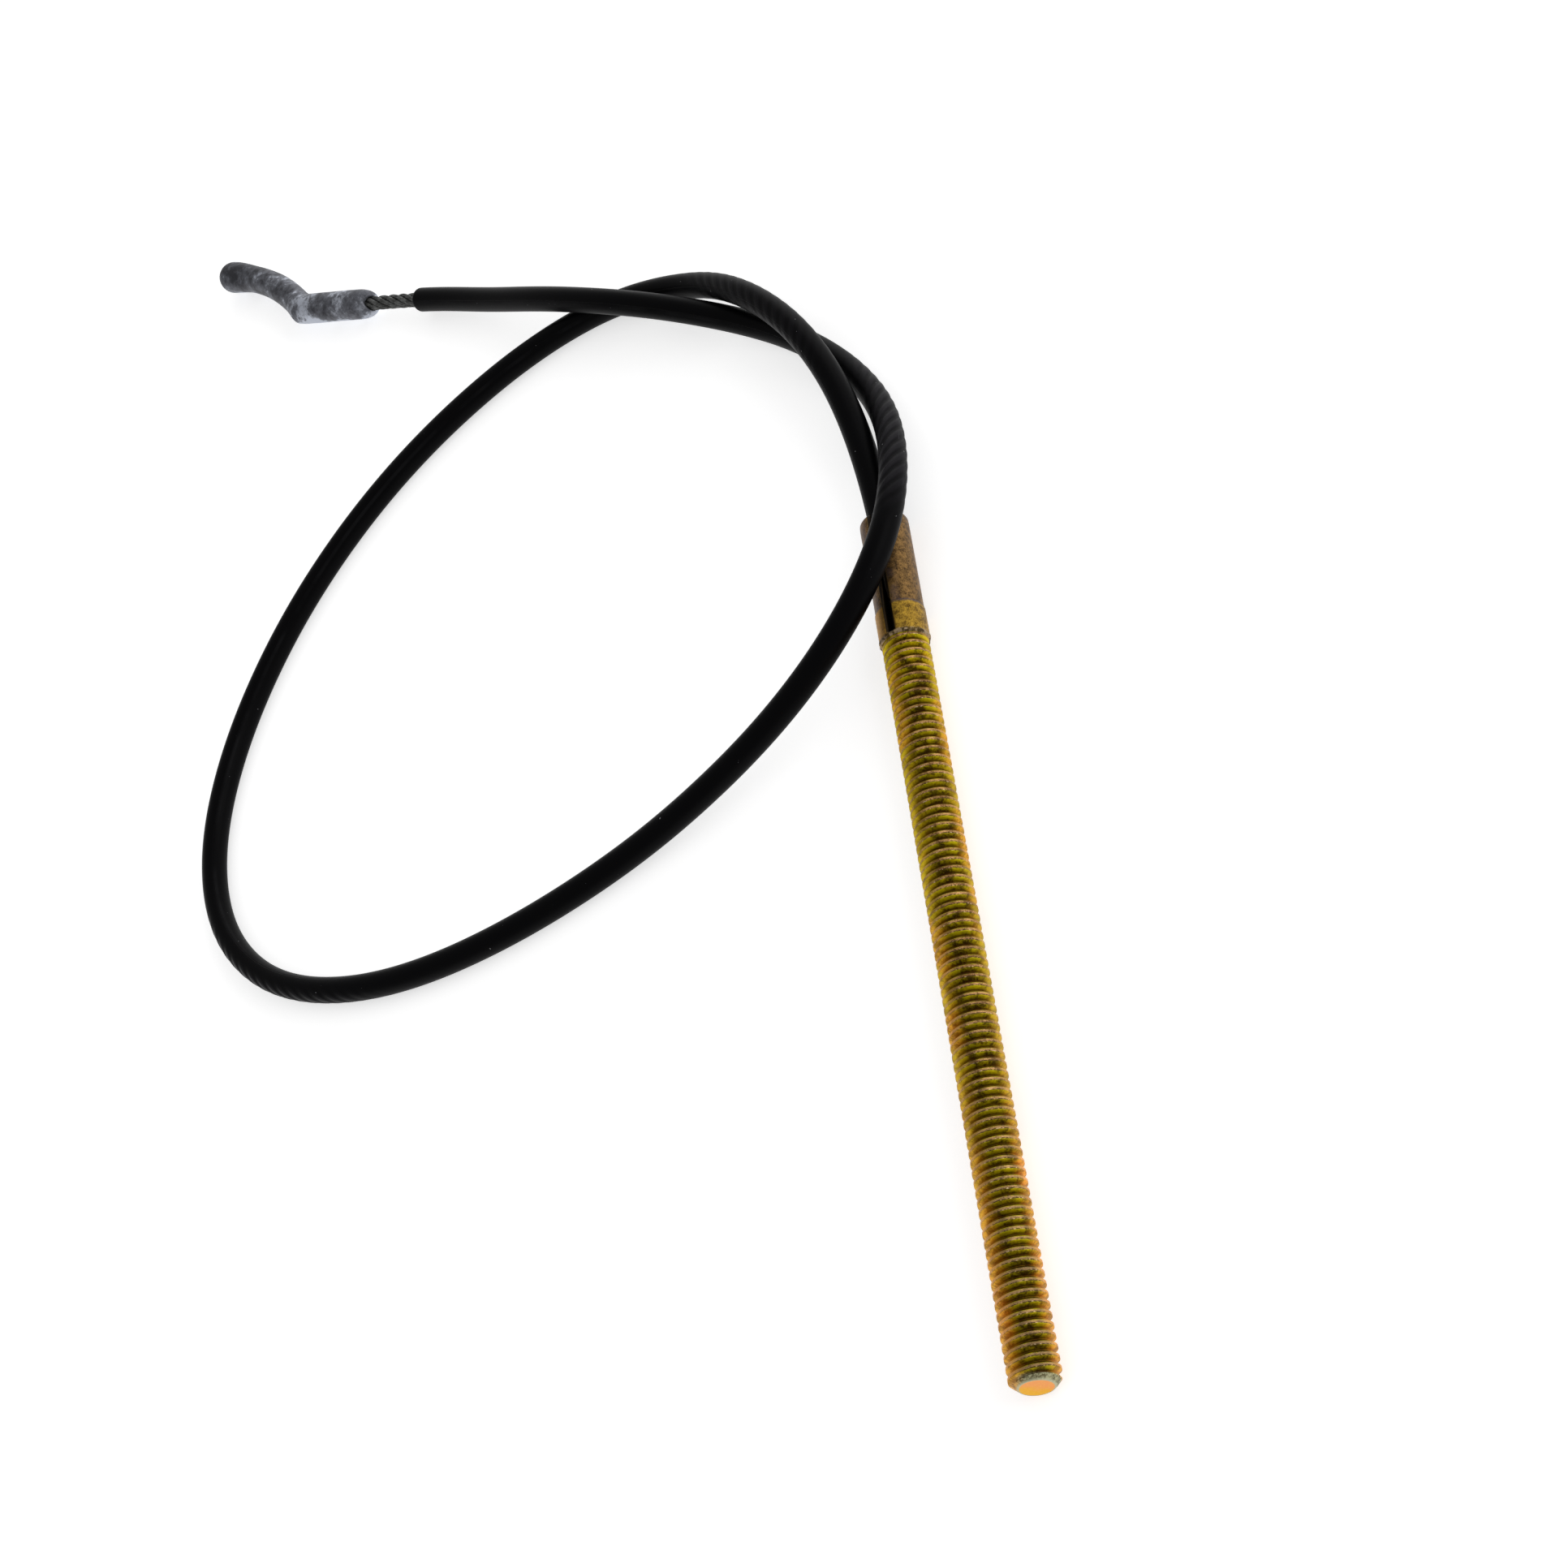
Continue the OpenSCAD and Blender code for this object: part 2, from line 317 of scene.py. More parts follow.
def build_jacket():
    """The jacket as rings round the line, each point one radius away along its spoke.

    The rings run along the outside, round the end by a quarter circle and back along the bore.
    """
    turn = np.linspace(0, 2 * math.pi, JACKET_COLUMNS, endpoint=False)
    outer = np.linspace(0, jacket_length - END_ROUND, OUTER_ROWS)
    inner = np.linspace(jacket_length - END_ROUND, 0, BORE_ROWS)
    corner = np.radians(np.linspace(15, 90, 6))
    lengths = np.concatenate([outer, jacket_length - END_ROUND * (1 - np.sin(corner)), inner])
    angles = np.broadcast_to(turn, (len(lengths), JACKET_COLUMNS))
    radius = np.full(angles.shape, JACKET_BORE_R)
    radius[: len(outer)] = jacket_radius(outer, angles[: len(outer)])
    rounded = slice(len(outer), len(outer) + len(corner))
    radius[rounded] = radius[len(outer) - 1] - END_ROUND * (1 - np.cos(corner))[:, None]
    point, _, side, up = line_at(lengths)
    points = point[:, None] + radius[..., None] * spokes(angles, side, up)
    uv = np.stack(np.broadcast_arrays(lengths[:, None] / MM, angles / (2 * math.pi)), axis=-1)
    faces = grid_faces(len(lengths), JACKET_COLUMNS, close_rows=True)
    stretch = stretch_of(lengths, angles).ravel()
    return make_piece("vinyl_jacket", points.reshape(-1, 3), faces, uv.reshape(-1, 2), stretch)


jacket = build_jacket()

# %% [markdown]
# ## The rope
# Six strands of seven wires lie round a seventh strand. Each strand follows a helix round the
# line, and its own wires turn the other way, so its section is a ring of six lobes. An array of
# curves would do, but one grid per strand keeps the lobes true to the wires.

# %% Rope: one strand
STRAND_R = ROPE_R / 3
WIRE_R = STRAND_R / 3
WIRE_LAY = 5.2 * MM


def strand_section(angles):
    """Radius of a strand at each angle: the outline of six wires set round a seventh.

    With p the angle from the nearest wire, it is 2w cos p + sqrt(w^2 - (2w sin p)^2).
    """
    p = (angles + math.pi / 6) % (math.pi / 3) - math.pi / 6
    inside = np.maximum(WIRE_R**2 - (2 * WIRE_R * np.sin(p)) ** 2, 0)
    return 2 * WIRE_R * np.cos(p) + np.sqrt(inside)


def strand_grid(lengths, columns, offset, phase):
    """Points of one strand, closed at both ends: offset is its distance from the rope's line.

    The strand's middle is the line plus the offset along a turning spoke. Its section lies square
    to the middle's own direction, and turns once in each lay of the wires.
    """
    point, _, side, up = line_at(lengths)
    angle = strand_angle(lengths) + phase
    spoke = spokes(angle[:, None], side, up)[:, 0]
    middle = point + offset * spoke
    along = unit(np.gradient(middle, axis=0))
    out = unit(spoke - np.einsum("ij,ij->i", spoke, along)[:, None] * along)
    turn = np.linspace(0, 2 * math.pi, columns, endpoint=False)
    radius = strand_section(turn + 2 * math.pi * lengths[:, None] / WIRE_LAY)
    radius[[0, -1]] = 0
    return middle[:, None] + radius[..., None] * spokes(turn, out, np.cross(along, out))


print(f"strand {2 * STRAND_R / MM:.2f} mm thick, wire {2 * WIRE_R / MM:.2f} mm")

# %% Rope: seven strands
HIDDEN_ROPE = 2.0 * MM
END_STEP = 0.01 * MM


def build_rope(name, start, end, step, columns):
    """Seven strands between two distances: one on the line, six at two strand radii from it."""
    rows = int((end - start) / step) + 1
    lengths = np.concatenate([[start], np.linspace(start + END_STEP, end - END_STEP, rows), [end]])
    turns = [(0, 0)] + [(2 * STRAND_R, k * math.pi / 3) for k in range(6)]
    strands = [strand_grid(lengths, columns, offset, phase) for offset, phase in turns]
    faces = [grid_faces(rows + 2, columns, first=k * (rows + 2) * columns) for k in range(7)]
    points = np.concatenate(strands).reshape(-1, 3)
    return make_piece(name, points, np.concatenate(faces), sharp_degrees=70)


bare_start = jacket_length - HIDDEN_ROPE
bare_end = mouth_length + ROPE_IN_HOOK
rope_in_jacket = build_rope("rope_in_jacket", 0.2 * MM, bare_start, step=1.6 * MM, columns=12)
bare_rope = build_rope("bare_rope_strands", bare_start, bare_end, step=0.2 * MM, columns=30)

# %% [markdown]
# ## The threaded stud
# One steel rod is threaded over most of its length, then drilled, slotted and crimped over the
# cable. A thread could be made with the Screw modifier. Here the rows of the grid climb with
# the helix, so crests and roots stay crisp with few points. The same grid runs on over the
# shank, round the rim of the socket and down to its bottom, and one Boolean cuts the slot.

# %% Stud: sizes in mm
PITCH = 1.27
THREAD_R = 3.175
THREAD_END = 102.0
END_FACE_R = 2.15
END_LEAN = 0.09
END_PROUD = 0.12
END_DISH = 0.05
SHANK_R = 3.375
STUD_LENGTH = 122.0
SOCKET_R = 2.1
SOCKET_BOTTOM = 103.0
FLARE_START = 117.0
FLARE = 0.1
CRIMP_START = 107.0
MOUTH_ROUND = 0.45
# half of the thread's section, from the middle of a crest to the middle of a root
SECTION_PLACES = [0, 0.05, 0.10, 0.17, 0.22, 0.26, 0.555, 0.60, PITCH / 2]
SECTION_RADII = [3.145, 3.165, 3.175, 3.17, 3.145, 3.09, 2.585, 2.545, 2.535]
MID_FLANK = 0.41
print(f"thread of {THREAD_END / PITCH:.1f} turns")

# %% Stud: the free end and the thread


def face_rows():
    """Radius and distance from the free end over its face, which is slightly dished."""
    r = np.array([0, 0.8, 1.5, 2.0])[:, None]
    return r, END_DISH * (1 - smooth(r, 1.2, 2.1))


def thread_radius(turns):
    """Radius of the thread at each place, counted in turns from a crest.

    The section is a line through its corners: a flat crest with a shallow seam that thread
    rolling leaves, 60 degree flanks and a rounded root.
    """
    place = np.abs((turns + 0.5) % 1 - 0.5) * PITCH
    return np.interp(place, SECTION_PLACES, SECTION_RADII)


def thread_rows(climb):
    """Radius and distance from the free end over the thread, with climb the share of a turn.

    A row moves on by one pitch in one turn, so it stays on its crest, flank or root. A cone
    bevels the free end, and the root rises to the crest where the thread runs out.
    """
    half_turn = np.sort([*SECTION_PLACES[:-1], MID_FLANK]) / PITCH
    one_turn = np.concatenate([half_turn, [0.5], 1 - half_turn[:0:-1]])
    turns = (np.arange(-1, math.ceil(THREAD_END / PITCH) + 1)[:, None] + one_turn).ravel()[:, None]
    y = np.clip((turns + climb) * PITCH, 0, THREAD_END)
    radius = np.minimum(thread_radius(y / PITCH - climb), END_FACE_R + 1.25 * y)
    run_out = smooth(y, THREAD_END - 0.9, THREAD_END)
    return radius + run_out * (THREAD_R - 0.05 - radius), y


# %% Stud: the shank and its socket


def ragged_ring(angle, waves, seed):
    """A closed random outline between -1 and 1: sines of whole waves with random phases."""
    rng = np.random.default_rng(seed)
    total = sum(np.sin(n * angle + rng.uniform(0, 2 * math.pi)) for n in waves)
    return total / len(waves) ** 0.5


def shank_radius(y, angle, noise):
    """Outside radius of the shank.

    The crimped stretch is pressed in at both sides, the mouth spreads a little at its underside,
    and a ragged burr stands at the thread's end.
    """
    crimped = smooth(y, CRIMP_START - 0.15, CRIMP_START + 0.2)
    radius = SHANK_R - crimped * (0.03 + 0.10 * np.sin(angle) ** 2)
    radius += 0.16 * smooth(y, 115.5, 120.5) * np.clip(-np.sin(angle), 0, 1) ** 2
    burr = smooth(y, THREAD_END, THREAD_END + 0.12)
    burr = burr * (1 - smooth(y, THREAD_END + 0.3, THREAD_END + 0.8))
    radius += burr * (0.04 + 0.09 * noise) * smooth(np.cos(angle), -0.9, -0.6)
    radius -= 0.16 * (1 - smooth(y, THREAD_END, THREAD_END + 0.25))
    return radius


def shank_rows(angle):
    """Radius and distance over the shank, in close rows at the burr and at the crimp's edge."""
    y = np.concatenate([
        THREAD_END + np.array([0.03, 0.08, 0.15, 0.25, 0.4, 0.6, 0.9]),
        np.arange(THREAD_END + 1.4, CRIMP_START - 0.2, 0.6),
        CRIMP_START + np.array([-0.15, -0.05, 0.05, 0.15, 0.3]),
        np.arange(CRIMP_START + 0.8, STUD_LENGTH - 0.6, 0.6),
    ])[:, None]
    return shank_radius(y, angle, ragged_ring(angle, (5, 9, 14, 21), seed=4)), y


def socket_rows(outer_r):
    """Radius and distance round the rim, then down the flared socket to the middle of its bottom.

    Round the rim the radius goes with the cosine of half a turn, and the distance with its sine.
    """
    inner_r = SOCKET_R + FLARE * (STUD_LENGTH - FLARE_START)
    sweep = np.linspace(0, math.pi, 9)[1:-1, None]
    rim_r = (outer_r + inner_r) / 2 + (outer_r - inner_r) / 2 * np.cos(sweep)
    rim_y = STUD_LENGTH - MOUTH_ROUND + MOUTH_ROUND * np.sin(sweep)
    y = np.array([121.5, 120.0, 118.5, FLARE_START, 112.0, 107.0, SOCKET_BOTTOM, SOCKET_BOTTOM])[:, None]
    r = SOCKET_R + FLARE * np.clip(y - FLARE_START, 0, None)
    r[-1] = 0
    return [(rim_r, rim_y), (r, y)]


# %% Stud: the rod
STUD_COLUMNS = 49


def build_stud():
    """The rod as rows of (radius, distance) turned round the thread's axis.

    The angle's sine goes to the side and its cosine upwards. The free end is sheared: its face
    leans a few degrees out of square.
    """
    angle = np.linspace(0, 2 * math.pi, STUD_COLUMNS)[None]
    climb = angle / (2 * math.pi)
    shank_r, shank_y = shank_rows(angle)
    blocks = [face_rows(), thread_rows(climb), (shank_r, shank_y), *socket_rows(shank_r[-1:])]
    r = np.concatenate([np.broadcast_to(radius, (len(radius), STUD_COLUMNS)) for radius, _ in blocks])
    y = np.concatenate([np.broadcast_to(far, (len(far), STUD_COLUMNS)) for _, far in blocks])
    height = r * np.cos(angle)
    leaned = y + (END_LEAN * height - END_PROUD) * (1 - smooth(y, 0.1, 1.2))
    points = MM * np.stack([r * np.sin(angle), leaned, height], axis=-1).reshape(-1, 3)
    uv = np.stack([np.broadcast_to(climb, y.shape), y / PITCH - climb], axis=-1).reshape(-1, 2)
    faces = grid_faces(len(r), STUD_COLUMNS, close_columns=False)
    return make_piece("threaded_stud_rod", points, faces, uv, sharp_degrees=50)


stud = build_stud()

# %% [markdown]
# ## The slot
# A saw cuts the slot along the socket before the crimp closes it part of the way. Faces could be
# deleted from the grid, but a Boolean gives the slot clean walls through the full thickness.

# %% Slot
SLOT_START = 102.5
SLOT_HALF = 0.5
SLOT_CLOSING = 0.24
SLOT_LOW = 0.9
SLOT_HIGH = 5.0


def build_slot_cutter():
    """A bar with four corners in each row, as wide as the slot is at that distance.

    Half the width is 0.5 mm, less the part that crimping takes away by an S curve.
    """
    y = np.linspace(SLOT_START, STUD_LENGTH + 1, 60)
    half = SLOT_HALF - SLOT_CLOSING * smooth(y, 106.4, 110.5)
    corners = [(-1, SLOT_LOW), (1, SLOT_LOW), (1, SLOT_HIGH), (-1, SLOT_HIGH)]
    ring = np.stack([np.stack([sign * half, y, np.full_like(y, z)], axis=-1) for sign, z in corners], axis=1)
    ends = np.stack([ring[0].mean(axis=0), ring[-1].mean(axis=0)])[:, None].repeat(4, axis=1)
    points = MM * np.concatenate([ends[:1], ring, ends[1:]])
    return make_piece("slot_cutter", points.reshape(-1, 3), grid_faces(len(points), 4))


def cut(piece, cutter):
    """Takes the cutter's space out of the piece and deletes the cutter."""
    boolean = piece.modifiers.new("slot", "BOOLEAN")
    boolean.operation = "DIFFERENCE"
    boolean.solver = "EXACT"
    boolean.object = cutter
    bpy.context.view_layer.update()
    cut_piece = piece.evaluated_get(bpy.context.evaluated_depsgraph_get())
    finished = bpy.data.meshes.new_from_object(cut_piece)
    piece.modifiers.clear()
    piece.data = finished
    bpy.data.objects.remove(cutter)
    print(f"{piece.name}: {len(finished.polygons)} faces after the cut")


cut(stud, build_slot_cutter())

# %% [markdown]
# ## The hook
# The hook is one zinc casting: a barrel cast round the rope's end, a mitred heel and a bent arm
# with a thicker round tip. It could be joined from primitives with Booleans. A single skin of
# rings is smoother: each ring has a middle, a heading, a radius and a slant, and the slant lets
# the rings lean into the mitre plane and out of it again.

# %% Hook: sizes in mm
BARREL_R = 2.5
BARREL_LENGTH = 17.7
HOOK_BORE_R = 1.22
HOOK_BORE_END = 14.8
MOUTH_R = 1.34
SHOULDER_LENGTH = 3.0
ARM_R = 2.32
TIP_R = 2.7
HEEL_ANGLE = math.radians(35.0)
ARM_BEND_R = 43.0
ARM_BEND = math.radians(31.5)
HOOK_AT = ROUTE[-3]
HOOK_TURN = math.atan2(ROUTE[-2][1] - ROUTE[-3][1], ROUTE[-2][0] - ROUTE[-3][0])
print(f"hook turned by {math.degrees(HOOK_TURN):.1f} degrees")

# %% Hook: its rings


def barrel_rings():
    """Rows of (x, radius) and their slants, from the end of the rope's bore out to the heel.

    The bore narrows just inside the mouth, where the zinc closes round the strands. The shoulder
    is a quarter of an ellipse, and only the outer skin leans into the mitre.
    """
    bore = [(HOOK_BORE_END, 0)] + [(x, HOOK_BORE_R) for x in (HOOK_BORE_END, 9.0, 3.0, 1.4)]
    rim = [(0.8, 0.80), (0.35, 0.88), (0.1, 1.10), (0.0, 1.26), (0.0, 1.32)]
    rise = BARREL_R - MOUTH_R
    sweep = np.radians(np.linspace(8, 90, 13))
    shoulder = [(SHOULDER_LENGTH * (1 - math.cos(a)), MOUTH_R + rise * math.sin(a)) for a in sweep]
    straight = [(x, BARREL_R) for x in np.linspace(SHOULDER_LENGTH + 0.6, BARREL_LENGTH, 33)]
    profile = np.array(bore + rim + shoulder + straight)
    outer_skin = profile[:, 1] > 2.4
    lean = smooth(profile[:, 0], BARREL_LENGTH - 4.5, BARREL_LENGTH) * outer_skin
    return profile, -lean * HEEL_ANGLE / 2


def arm_rings():
    """Middle, heading, radius and slant of the arm's rings: an arc that ends in half a ball."""
    length = ARM_BEND_R * ARM_BEND
    along = np.concatenate([[0.25, 0.6], np.linspace(1.0, length, 46)])
    heading = along / ARM_BEND_R - HEEL_ANGLE
    centre = np.array([
        BARREL_LENGTH + ARM_BEND_R * math.sin(HEEL_ANGLE),
        ARM_BEND_R * math.cos(HEEL_ANGLE),
    ])
    middle = centre + ARM_BEND_R * np.stack([np.sin(heading), -np.cos(heading)], axis=1)
    radius = ARM_R + 0.16 * (1 - smooth(along, 0, 2.5))
    radius += (TIP_R - ARM_R) * smooth(along, length - 6.5, length - 0.3)
    slant = HEEL_ANGLE / 2 * (1 - smooth(along, 0, 4.5))

    sweep = np.radians(np.linspace(9, 90, 10))
    ahead = np.array([math.cos(heading[-1]), math.sin(heading[-1])])
    tip = middle[-1] + TIP_R * np.sin(sweep)[:, None] * ahead
    return (
        np.concatenate([middle, tip]),
        np.concatenate([heading, np.full(len(tip), heading[-1])]),
        np.concatenate([radius, TIP_R * np.cos(sweep)]),
        np.concatenate([slant, np.zeros(len(tip))]),
    )


# %% Hook: its skin
HOOK_COLUMNS = 56
LUMP = 0.022
HEEL_WEAR = 0.045
SCOOP = 0.8
SCOOP_ANGLE = math.radians(65)


def cast_skin(radius, turn, rings_from_heel):
    """Radius of the skin at each ring and angle.

    A casting isn't quite round, so low lumps swell and sink its outer skin: sines of two and
    three waves round it that drift along it. The heel's outer corner is worn round.
    """
    place = np.arange(len(radius))[:, None] / 7
    lumps = np.sin(2 * turn + place) * np.sin(1.7 * place) + 0.6 * np.sin(3 * turn - 1.3 * place)
    skin = radius[:, None] + LUMP * lumps * (radius > 1.9)[:, None]
    near_heel = np.exp(-((rings_from_heel / 1.6) ** 2))
    return skin * (1 - HEEL_WEAR * near_heel * np.clip(np.cos(turn), 0, 1))


def build_hook():
    """The hook's rings, set in its own frame and then turned and moved to the end of the line.

    A ring is a circle across its heading, sheared by the tangent of its slant. The mouth is
    scooped back on its upper side, where the rope comes out.
    """
    profile, barrel_slant = barrel_rings()
    count = len(profile)
    arm_middle, arm_heading, arm_radius, arm_slant = arm_rings()
    barrel_middle = np.stack([profile[:, 0], np.zeros(count)], axis=1)
    middle = np.concatenate([barrel_middle, arm_middle])
    heading = np.concatenate([np.zeros(count), arm_heading])
    radius = np.concatenate([profile[:, 1], arm_radius])
    slant = np.concatenate([barrel_slant, arm_slant])

    turn = np.linspace(0, 2 * math.pi, HOOK_COLUMNS, endpoint=False)[None]
    order = np.arange(len(radius))
    skin = cast_skin(radius, turn, np.abs(order - (count - 1))[:, None])
    ahead = np.stack([np.cos(heading), np.sin(heading)], axis=1)
    left = np.stack([-np.sin(heading), np.cos(heading)], axis=1)
    across = left - np.tan(slant)[:, None] * ahead
    flat = middle[:, None] + (skin * np.cos(turn))[..., None] * across[:, None]
    from_top = np.angle(np.exp(1j * (turn - SCOOP_ANGLE)))
    near_mouth = (1 - smooth(middle[:, 0], 0.0, 4.0)) * (order < count)
    flat[..., 0] += SCOOP * near_mouth[:, None] * np.exp(-((from_top / 0.75) ** 2))

    local = np.concatenate([flat, (skin * np.sin(turn))[..., None]], axis=-1)
    c, s = math.cos(HOOK_TURN), math.sin(HOOK_TURN)
    points = HOOK_AT + MM * (local @ np.array([[c, s, 0], [-s, c, 0], [0, 0, 1]]))
    faces = grid_faces(len(radius), HOOK_COLUMNS)
    return make_piece("cast_hook", points.reshape(-1, 3), faces, sharp_degrees=24)


hook = build_hook()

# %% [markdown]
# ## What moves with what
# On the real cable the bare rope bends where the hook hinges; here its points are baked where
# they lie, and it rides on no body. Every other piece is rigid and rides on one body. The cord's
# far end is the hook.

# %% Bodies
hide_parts("cable_jacket")
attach(jacket, "cable")
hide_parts("wire_rope")
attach(rope_in_jacket, "cable")
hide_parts("bare_rope")
jacket_tip, hook_mouth = (line_at(np.array([at]))[0][0] for at in (jacket_length, mouth_length))
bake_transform(bare_rope)
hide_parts("threaded_stud")
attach(stud, "cable")
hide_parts("cable_hook")
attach(hook, "hook")
path = line_at(np.linspace(0, jacket_length, 700))[0]

# %% [markdown]
# ## Shader arithmetic
# A finish is a sum of masks and noises. Wiring Math nodes by hand hides the sum, so a small
# class wraps a socket and lets ordinary arithmetic add the nodes. A second class adds any node,
# and a third one holds a material.

# %% Numbers that vary over a surface


class Shade:
    """A number that varies over a surface. Arithmetic on it adds Math nodes."""

    def __init__(self, nodes, socket):
        self.nodes = nodes
        self.socket = socket

    def math(self, operation, *inputs):
        return self.nodes.node("ShaderNodeMath", {"operation": operation}, dict(enumerate(inputs)))

    def __add__(self, other):
        return self.math("ADD", self, other)

    def __sub__(self, other):
        return self.math("SUBTRACT", self, other)

    def __rsub__(self, other):
        return self.math("SUBTRACT", other, self)

    def __mul__(self, other):
        return self.math("MULTIPLY", self, other)

    def __truediv__(self, other):
        return self.math("DIVIDE", self, other)

    def __pow__(self, other):
        return self.math("POWER", self, other)

    __radd__ = __add__
    __rmul__ = __mul__

    def size(self):
        return self.math("ABSOLUTE", self)

    def fraction(self):
        return self.math("FRACT", self)

    def step(self, low, high):
        """0 below low and 1 above high, or the other way round, with a smooth passage."""
        settings = {"interpolation_type": "SMOOTHSTEP"}
        return self.nodes.node("ShaderNodeMapRange", settings, {0: self, 1: low, 2: high, 3: 0, 4: 1})


# %% Any node


class Nodes:
    """A node tree, with one method that adds any node."""

    def __init__(self, tree, coordinates):
        self.tree = tree
        source = tree.nodes.new("ShaderNodeTexCoord")
        self.vector = Shade(self, source.outputs[coordinates])
        self.x, self.y, self.z = self.split(self.vector)

    def node(self, kind, settings, inputs, output=0):
        """Adds a node: its settings first, then a value or a link for each of its inputs."""
        added = self.tree.nodes.new(kind)
        for key, value in settings.items():
            setattr(added, key, value)
        for key, value in inputs.items():
            self.feed(added.inputs[key], value)
        return Shade(self, added.outputs[output])

    def feed(self, socket, value):
        """Links a shade to a socket, or sets the socket's own value."""
        if isinstance(value, Shade):
            self.tree.links.new(value.socket, socket)
        else:
            socket.default_value = value

    def split(self, vector):
        """The three parts of a vector."""
        first = self.node("ShaderNodeSeparateXYZ", {}, {0: vector})
        return [Shade(self, socket) for socket in first.socket.node.outputs]

    def mix(self, share, first, second):
        """A colour: first where the share is 0, second where it is 1."""
        inputs = {0: share, 6: (*first, 1) if isinstance(first, tuple) else first}
        inputs[7] = (*second, 1) if isinstance(second, tuple) else second
        return self.node("ShaderNodeMix", {"data_type": "RGBA"}, inputs, output=2)


# %% One material


class Finish(Nodes):
    """One material. Its patterns read Object coordinates or the piece's own map."""

    def __init__(self, name):
        self.material = bpy.data.materials.new(name)
        self.material.use_nodes = True
        super().__init__(self.material.node_tree, "Object")
        self.shader = self.tree.nodes["Principled BSDF"]

    def noise(self, per_mm, detail=3, rough=0.55, squeeze=(1, 1, 1), warp=0.0, vector=None):
        """Noise with this many grains a millimetre, squeezed differently along each axis."""
        place = self.vector if vector is None else vector
        settings = {"operation": "MULTIPLY"}
        scale = tuple(per_mm / MM * part for part in squeeze)
        scaled = self.node("ShaderNodeVectorMath", settings, {0: place, 1: scale})
        inputs = {"Vector": scaled, "Scale": 1, "Detail": detail, "Roughness": rough, "Distortion": warp}
        return self.node("ShaderNodeTexNoise", {}, inputs)

    def bump(self, height, depth_mm):
        """Raises the skin by up to this depth, without moving the mesh."""
        inputs = {"Height": height, "Distance": depth_mm * MM, "Strength": 1}
        self.feed(self.shader.inputs["Normal"], self.node("ShaderNodeBump", {}, inputs))

    def set(self, **inputs):
        """Feeds the shader's sockets; an underscore stands for a space in a socket's name."""
        for name, value in inputs.items():
            value = (*value, 1) if isinstance(value, tuple) else value
            self.feed(self.shader.inputs[name.replace("_", " ")], value)

    def report(self):
        """Prints how large the material is."""
        print(f"{self.material.name}: {len(self.tree.nodes)} nodes")


# %% [markdown]
# ## Black vinyl
# The jacket is near black with a satin shine. Where the skin is stretched over the strands it is
# a little lighter, and a painted sheen lightens the crests of its ribs. Handling leaves hair
# scratches and specks of lint, and the extruder a fine seam. The gloss comes from the shader, so
# it stays right from every side, and low noise in the roughness breaks it up.

# %% Vinyl finish
BLACK = (0.0020, 0.0019, 0.0023)
STRETCHED_BLACK = (0.0045, 0.0042, 0.0050)
RIB_SHEEN_BLACK = (0.0140, 0.0130, 0.0155)
SEAM_BLACK = (0.012, 0.012, 0.013)
SCRATCH_GREY = (0.09, 0.09, 0.095)
LINT_GREY = (0.30, 0.30, 0.31)

vinyl = Finish("black_vinyl")
skin_map = vinyl.node("ShaderNodeUVMap", {"uv_map": "along"}, {})
along_mm, around, _ = vinyl.split(skin_map)
stretch = vinyl.node("ShaderNodeAttribute", {"attribute_name": "stretch"}, {}, output=2)
cloud = vinyl.noise(0.10, detail=4)
grain = vinyl.noise(3.5, detail=2)
from_strand = ((around + along_mm / (LAY / MM)) * 6 + 0.5).fraction() - 0.5
rib = from_strand.size().step(0.42, 0.12)
ribbed = stretch.step(0.12, 0.75)
skin = vinyl.mix(ribbed, BLACK, STRETCHED_BLACK)
# painted sheen lightens the crests of the ribs where the skin is stretched
skin = vinyl.mix(rib * ribbed, skin, RIB_SHEEN_BLACK)
# the map is in mm, so its noise takes a scale of one
scratch = vinyl.noise(MM, detail=1, squeeze=(0.16, 22, 1), warp=0.3, vector=skin_map).step(0.74, 0.78)
scratch = scratch * vinyl.noise(0.05, detail=1).step(0.54, 0.60)
lint = vinyl.noise(2.0, detail=1).step(0.80, 0.82)
seam = (around - 0.352).size().step(0.006, 0.002)
seam_band = (around - 0.375).size().step(0.03, 0.01) * 0.5
skin = vinyl.mix(seam_band * cloud.step(0.35, 0.6), skin, SEAM_BLACK)
skin = vinyl.mix(scratch * 0.6, skin, SCRATCH_GREY)
vinyl.set(
    Base_Color=vinyl.mix(lint * 0.8, skin, LINT_GREY),
    Roughness=0.30 + cloud * 0.12 + grain * 0.08 + scratch * 0.2,
    IOR=1.45,
    Specular_IOR_Level=0.05,
)
vinyl.bump(grain * 0.2 + rib * ribbed * 1.6 - seam * 0.5, 0.05)
vinyl.report()

# %% [markdown]
# ## Galvanised wire
# The rope's zinc is dull grey and a little uneven. One colour would do from afar; two noises,
# one coarse and one fine, also hold up close to.

# %% Wire finish
WIRE_DARK = (0.055, 0.055, 0.052)
WIRE_PALE = (0.17, 0.174, 0.17)

wire = Finish("galvanised_wire")
wire_cloud = wire.noise(0.9, detail=3)
wire_grain = wire.noise(6.0, detail=2)
wire_tone = wire_cloud * 0.6 + wire_grain * 0.4
wire.set(
    Base_Color=wire.mix(wire_tone.step(0.38, 0.62), WIRE_DARK, WIRE_PALE),
    Roughness=0.40 + wire_grain * 0.2,
    Metallic=0.9,
)
wire.bump(wire_grain, 0.012)
wire.report()
